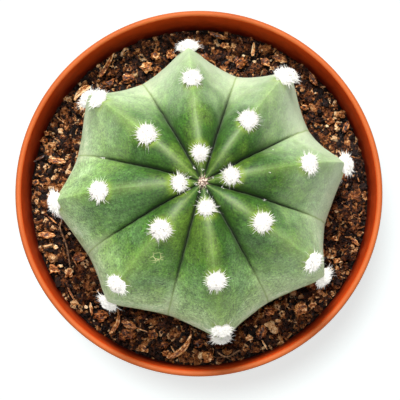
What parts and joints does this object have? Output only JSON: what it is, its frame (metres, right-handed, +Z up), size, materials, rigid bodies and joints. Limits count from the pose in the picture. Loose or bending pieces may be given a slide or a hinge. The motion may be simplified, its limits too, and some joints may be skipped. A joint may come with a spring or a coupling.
{
  "type": "potted echinopsis",
  "caption": "Round ribbed globe cactus with woolly white areoles, growing in bark soil in a tapered round plastic pot.",
  "frame": {"origin": "centre of the pot's foot, on the surface that the pot stands on", "axes": "+Z up along the pot's axis; +X to the right and +Y away from someone who looks down on the plant with its north rib at the top"},
  "size_m": [0.105, 0.105, 0.1347],
  "materials": {
    "pot_plastic": "terracotta-coloured moulded plastic, satin",
    "soil": "coarse bark and peat, matt",
    "stem_skin": "waxy green skin with a pale bloom",
    "areole_wool": "white wool with short spines",
    "crown_wool": "beige-pink young wool",
    "bark": "pine bark, rough",
    "root_fibre": "dry root fibre"
  },
  "bodies": {
    "root": {"pot": "pot_plastic", "soil": "soil", "stem": "stem_skin", "areole_1_1": "areole_wool", "areole_1_2": "areole_wool", "areole_1_3": "areole_wool", "areole_1_4": "areole_wool", "areole_2_1": "areole_wool", "areole_2_2": "areole_wool", "areole_2_3": "areole_wool", "areole_3_1": "areole_wool", "areole_3_2": "areole_wool", "areole_3_3": "areole_wool", "areole_3_4": "areole_wool", "areole_4_1": "areole_wool", "areole_4_2": "areole_wool", "areole_4_3": "areole_wool", "areole_5_1": "areole_wool", "areole_5_2": "areole_wool", "areole_5_3": "areole_wool", "areole_5_4": "areole_wool", "areole_6_1": "areole_wool", "areole_6_2": "areole_wool", "areole_6_3": "areole_wool", "areole_7_1": "areole_wool", "areole_7_2": "areole_wool", "areole_7_3": "areole_wool", "areole_7_4": "areole_wool", "areole_8_1": "areole_wool", "areole_8_2": "areole_wool", "areole_8_3": "areole_wool", "crown_tuft": "crown_wool", "bark_strip_long": "bark", "bark_sliver_north": "bark", "bark_strip_curved": "bark", "bark_chip_golden": "bark", "bark_husk_west": "bark", "bark_chip_round": "bark", "bark_strip_south": "bark", "bark_chunk_dark": "bark", "bark_needle": "bark", "bark_flake_north": "bark", "bark_husk_northeast": "bark", "bark_husk_east": "bark", "bark_chunk_orange": "bark", "bark_chip_south": "bark", "root_fibre_west": "root_fibre", "root_fibre_south": "root_fibre"}
  },
  "joints": []
}
